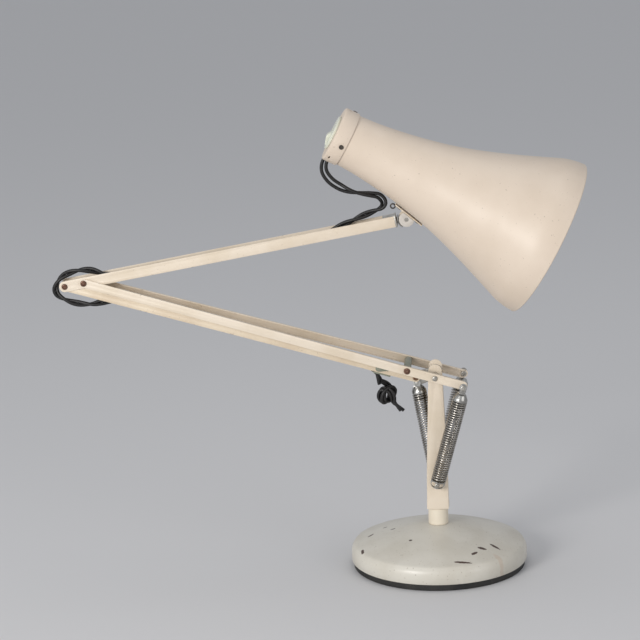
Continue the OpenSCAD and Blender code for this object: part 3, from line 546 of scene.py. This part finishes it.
def cover_line(inset, step):
    """The cover's section from its rim up over the shoulder and the dome to the crown."""
    bends = [(base_r - inset, side_top - 0.001), (base_r - inset - 0.0008, side_top + 0.0022),
             (base_r - inset - 0.0026, side_top + 0.0049),
             (base_r - inset - 0.006, side_top + 0.0072 - inset * 0.6),
             (base_r * 0.68, base_h * 0.76 - inset), (base_r * 0.36, base_h * 0.915 - inset),
             (spindle_r + 0.0046, base_h - inset)]
    line, _ = curve_through([Vector((r, 0, z)) for r, z in bends], step)
    return [(base_r - inset, ring_h + 0.0006)] + [(p.x, p.z) for p in line]


cover_outer = cover_line(0, 0.0018)
cover_inner = cover_line(cover_wall, 0.004)
cover_profile = ([(base_r - 0.0005, ring_h)] + cover_outer + [(spindle_r + 0.00245, base_h - 0.0001)]
                 + cover_inner[::-1] + [(base_r - cover_wall + 0.0003, ring_h)])
base_cover = turned("base_cover_pressing", cover_profile, base_paint, steps=192)
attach(base_cover, "base")
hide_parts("base_cover")

rubber = grained("ring_rubber_black", (0.010, 0.010, 0.010), (0.022, 0.021, 0.019),
                 0.6, 0.12, 0.0, 40, 1200, 0.0001)
ring_profile = [(base_r - 0.007, 0.0004), (base_r - 0.0066, 0), (base_r - 0.0032, 0),
                (base_r - 0.0022, 0.0008), (base_r - 0.002, 0.0026), (base_r - 0.002, 0.0066),
                (base_r - 0.0024, ring_h), (base_r - 0.0066, ring_h), (base_r - 0.007, 0.0066)]
base_ring = turned("base_ring_moulding", ring_profile, rubber, steps=192)
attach(base_ring, "base")
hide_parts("base_ring")

felt = grained("base_felt_green", (0.030, 0.052, 0.034), (0.050, 0.074, 0.046),
               0.95, 0.04, 0.0, 90, 2600, 0.0004)
dress(["base_felt"], felt)
iron = grained("cast_iron_raw", (0.06, 0.058, 0.055), (0.13, 0.10, 0.08), 0.7, 0.15, 0.8, 60, 700, 0.0004)
dress(["base_weight"], iron)

bush_paint = enamel("bush_enamel", (0.76, 0.69, 0.57), (0.70, 0.62, 0.49), 0.05, 0.2, 0.32)[0]
bore_r, spigot_r, spigot_foot = spindle_r + 0.00005, spindle_r + 0.00235, 0.015
bush_profile = [(bore_r, base_h + neck_h - 0.0003), (neck_r - 0.0006, base_h + neck_h - 0.0003),
                (neck_r, base_h + neck_h - 0.0009), (neck_r, base_h + 0.0007), (neck_r - 0.0006, base_h),
                (spigot_r, base_h), (spigot_r, spigot_foot), (bore_r, spigot_foot)]
neck_bush = turned("neck_bush_turning", bush_profile, bush_paint, steps=96)
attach(neck_bush, "base")
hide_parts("neck_bush")

zinc = grained("zinc_plate", (0.56, 0.55, 0.52), (0.40, 0.38, 0.34), 0.38, 0.10, 0.9, 110, 1600, 0.00005)
dress(["spindle_nut"], zinc)


# ---- Post ----
# A folded steel channel on a turned collar. Its spindle stands in the neck
# bush, so the whole lamp swivels on it. Two steel pins cross it.
arm_paint = enamel("arm_enamel", (0.74, 0.65, 0.535), (0.67, 0.575, 0.45), 0.10, 0.35, 0.32)[0]
softened("post", "post", arm_paint, 0.0004)
dress(["spindle", "anchor_pin", "pivot_pin", "pivot_spacers"], zinc)


# ---- Lower arm ----
# Two pressed channel bars, enamelled, joined at the bend by a bolt through a
# plastic spacer. Their tails carry the pins that the side springs hang from.
softened("front_bar", "lower_arm", arm_paint)
softened("rear_bar", "lower_arm", arm_paint)
dress(["spring_pins"], zinc)
spacer_plastic = grained("grey_green_plastic", (0.20, 0.215, 0.165), (0.26, 0.265, 0.21),
                         0.45, 0.08, 0.0, 80, 1500, 0.00006)
softened("spacer_tube", "lower_arm", spacer_plastic, 0.0003)
browned = grained("browned_steel", (0.105, 0.050, 0.032), (0.20, 0.115, 0.080),
                  0.40, 0.12, 0.55, 260, 1800, 0.00008)
dress(["spacer_bolt"], browned)


# ---- Elbow, upper arm and link ----
# Two channels side by side as a parallel linkage: the upper arm pivots on the
# bars, and its tail drives the yellower link. Browned rivets join them.
dress(["elbow_washers"], zinc)
dress(["elbow_pin", "link_pin"], browned)
softened("upper_arm", "upper_arm", arm_paint, 0.00035)
softened("knuckle_bush", "upper_arm", zinc, 0.0003)
link_paint = enamel("link_enamel", (0.70, 0.60, 0.46), (0.61, 0.50, 0.365), 0.22, 0.5, 0.32)[0]
softened("link", "link", link_paint, 0.00035)
softened("link_clip", "link", spacer_plastic, 0.0006)


# ---- Crank ----
# A thick forged plate on the main pivot, zinc plated. A hollow rivet joins it
# to the link, and its lower pin takes the middle spring.
softened("crank", "crank", zinc, 0.0004)
hollow_brass = grained("hollow_rivet_brown", (0.33, 0.21, 0.13), (0.22, 0.13, 0.085),
                       0.38, 0.10, 0.7, 260, 1800, 0.00006)
dress(["crank_rivet"], hollow_brass)


# ---- Springs ----
# Three close-wound springs of dark drawn wire. Each has a bright screwed plug
# at the top and a round end plate below, slotted over the post's anchor pin.
spring_r, wire_r, coil_foot, winding = 0.0078, 0.0008, 0.0057, 0.0025
plug_gap = 0.0003
around = 28
plug_lens = {"front": 0.014, "rear": 0.014, "left": 0.011}
bright = grained("bright_plate", (0.52, 0.52, 0.50), (0.34, 0.33, 0.31),
                 0.28, 0.10, 0.95, 150, 2000, 0.00005)
wire = grained("drawn_spring_wire", (0.46, 0.44, 0.41), (0.32, 0.30, 0.27),
               0.24, 0.06, 1.0, 90, 2200, 0.00003)
tops = {"front": Vector((0.028371, -0.03365, 0.194918)), "rear": Vector((0.028371, 0.03365, 0.194918)),
        "left": Vector((-0.018551, 0, 0.193159))}
feet = {"front": Vector((0, -0.0199, 0.09)), "rear": Vector((0, 0.0199, 0.09)), "left": Vector((0, 0, 0.09))}
for which in ("front", "rear", "left"):
    reach = tops[which] - feet[which]
    coil_length = reach.length - plug_lens[which] - plug_gap - coil_foot
    turns = int((coil_length - 2 * wire_r) / winding)
    pitch = (coil_length - 2 * wire_r) / turns
    bm = bmesh.new()
    ring = bmesh.ops.create_circle(bm, cap_ends=True, segments=8, radius=wire_r)["verts"]
    bmesh.ops.rotate(bm, cent=(0, 0, 0), matrix=Matrix.Rotation(math.radians(90), 3, "X"), verts=ring)
    bmesh.ops.translate(bm, vec=(spring_r - wire_r, 0, coil_foot + wire_r), verts=ring)
    section = list(bm.faces) + list(bm.edges) + list(bm.verts)
    bmesh.ops.spin(bm, geom=section, cent=(0, 0, 0), axis=(0, 0, 1), dvec=(0, 0, pitch / around),
                   angle=2 * math.pi * turns, steps=around * turns, use_merge=False, use_duplicate=False)
    bmesh.ops.recalc_face_normals(bm, faces=bm.faces)
    lean = math.atan2(reach.y, math.hypot(reach.x, reach.z))
    place = (Matrix.Translation(feet[which]) @ Matrix.Rotation(math.atan2(reach.x, reach.z), 4, "Y")
             @ Matrix.Rotation(-lean, 4, "X"))
    bmesh.ops.transform(bm, matrix=place, verts=bm.verts)
    coil = finish_piece(which + "_spring_wound", bm, wire, 60)
    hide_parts(which + "_spring_coil")
    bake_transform(coil)
    softened(which + "_spring_head", which + "_spring_head", bright, 0.00025)
    softened(which + "_spring_foot", which + "_spring_foot", bright, 0.0003)


# ---- Knuckle ----
# A zinc-plated stem that turns in the arm's end, with a band that guards the
# tilt joint. The tilt screw passes through its tongue and the strap's ears.
softened("knuckle", "knuckle", bright, 0.0002)
dress(["tilt_pin"], zinc)
white_nylon = grained("white_nylon", (0.60, 0.565, 0.52), (0.52, 0.48, 0.43),
                      0.45, 0.08, 0.0, 90, 1400, 0.00005)
softened("tilt_disc", "head", white_nylon, 0.0003)


# ---- Shade ----
# Spun aluminium, enamelled cream: a slow taper from the cap that swells into
# a bell, with a rolled bead at its mouth.
knuckle_at = Vector((-0.025222, 0, 0.362512))
upper_rest, shade_rest, head_swing = math.radians(10.2), math.radians(28.3), math.radians(6)
throat_r, mouth_r, shade_len, shade_wall = 0.0265, 0.0815, 0.2245, 0.001
seam_x, shade_offset = -0.0885, 0.0455
at_shade = (Matrix.Translation(knuckle_at) @ Matrix.Rotation(-upper_rest, 4, "Y")
            @ Matrix.Rotation(head_swing, 4, "X") @ Matrix.Rotation(upper_rest + shade_rest, 4, "Y"))
at_axis = (at_shade @ Matrix.Translation((seam_x, 0, shade_offset))
           @ Matrix.Rotation(math.radians(90), 4, "Y"))


def shade_radius(t):
    """Outer radius at a share t of the length: straight at the throat, then the bell."""
    if t < 0.08:
        swell = 0.24 * t
    elif t < 0.42:
        swell = 0.0192 + 0.39 * (t - 0.08) + 0.82 * (t - 0.08) ** 2
    elif t < 0.90:
        swell = 0.2466 + (t - 0.42) + 1.3 * (t - 0.42) ** 2 - 0.87 * (t - 0.42) ** 3
    else:
        swell = 0.9298 + 1.3 * (t - 0.9) - 6 * (t - 0.9) ** 2
    return throat_r + (mouth_r - throat_r) * swell


shade_paint = enamel("shade_enamel", (0.71, 0.605, 0.50), (0.675, 0.57, 0.465), 0.0, 0.45, 0.36)[0]
shade_steps = 60
outer_line = [(shade_radius(i / shade_steps), shade_len * i / shade_steps) for i in range(shade_steps)]
inner_line = [(r - shade_wall, z) for r, z in outer_line]
bead_r = 0.0013
bead = [(mouth_r - bead_r + bead_r * math.cos(a), shade_len - bead_r + bead_r * math.sin(a))
        for a in [math.radians(20 * k) for k in range(-1, 13)]]
shade = turned("shade_spinning", outer_line + bead + inner_line[::-1], shade_paint, at_axis, 160)
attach(shade, "head")
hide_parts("shade")
softened("shade_cap", "head", shade_paint, 0.0004)
softened("shade_strap", "head", arm_paint, 0.0002)
blackened = grained("blackened_steel", (0.055, 0.048, 0.042), (0.12, 0.10, 0.085),
                    0.40, 0.10, 0.8, 260, 1800, 0.00006)
dress(["cap_screws", "strap_screws", "cable_eyelet"], blackened)


# ---- Switch, lampholder and bulb ----
# An ivory rocker in a round plate behind the cap, a moulded lampholder inside
# it, and a pearl globe bulb in a brass cap.
ivory = grained("ivory_moulding", (0.70, 0.72, 0.62), (0.64, 0.64, 0.53), 0.28, 0.06, 0.0, 60, 1200, 0.00004)
softened("switch_plate", "head", ivory, 0.0004)
softened("rocker", "rocker", ivory, 0.0005)
softened("lampholder", "head", ivory, 0.0004)
softened("holder_ring", "head", ivory, 0.0004)
brass = grained("bulb_cap_brass", (0.70, 0.52, 0.26), (0.52, 0.38, 0.20),
                0.28, 0.08, 1.0, 120, 1600, 0.00004)
dress(["bulb_cap"], brass)

bulb_at, bulb_r, bulb_reach, bulb_cap_r, bulb_wall = 0.040, 0.030, 0.053, 0.011, 0.0012


def bulb_line(inset):
    """Half of the bulb's section, from its cap over the neck to the globe's top."""
    neck = [(bulb_cap_r + 0.0005, 0), (bulb_cap_r + 0.0015, 0.006),
            (bulb_r / 2, 0.016), (bulb_r * 2 / 3, 0.027)]
    globe = [(math.cos(a), math.sin(a)) for a in [math.radians(k) for k in range(-40, 90, 5)]]
    radius = bulb_r - inset
    bends = [Vector((r - inset, 0, z)) for r, z in neck]
    bends += [Vector((radius * c, 0, bulb_reach + radius * s)) for c, s in globe]
    line, _ = curve_through(bends, 0.002)
    return [(p.x, p.z) for p in line] + [(0, bulb_reach + bulb_r - inset)]


pearl, pearl_tree, pearl_shader = new_material("pearl_glass", 0.35, 0.0)
pearl_shader.inputs["Transmission Weight"].default_value = 0.35
pearl_shader.inputs["IOR"].default_value = 1.5
pearl_tone = step_in(pearl_tree, noise_in(pearl_tree, 40, 2), 0.3, 0.7)
pearl_tree.links.new(blend_in(pearl_tree, pearl_tone, (0.93, 0.93, 0.91), (0.88, 0.88, 0.85)),
                     pearl_shader.inputs["Base Color"])
relief(pearl_tree, pearl_shader, noise_in(pearl_tree, 1500, 2), 0.00003)
bulb = turned("bulb_globe", bulb_line(0) + bulb_line(bulb_wall)[::-1], pearl,
              at_axis @ Matrix.Translation((0, 0, bulb_at)), 96)
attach(bulb, "head")
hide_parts("bulb_glass")
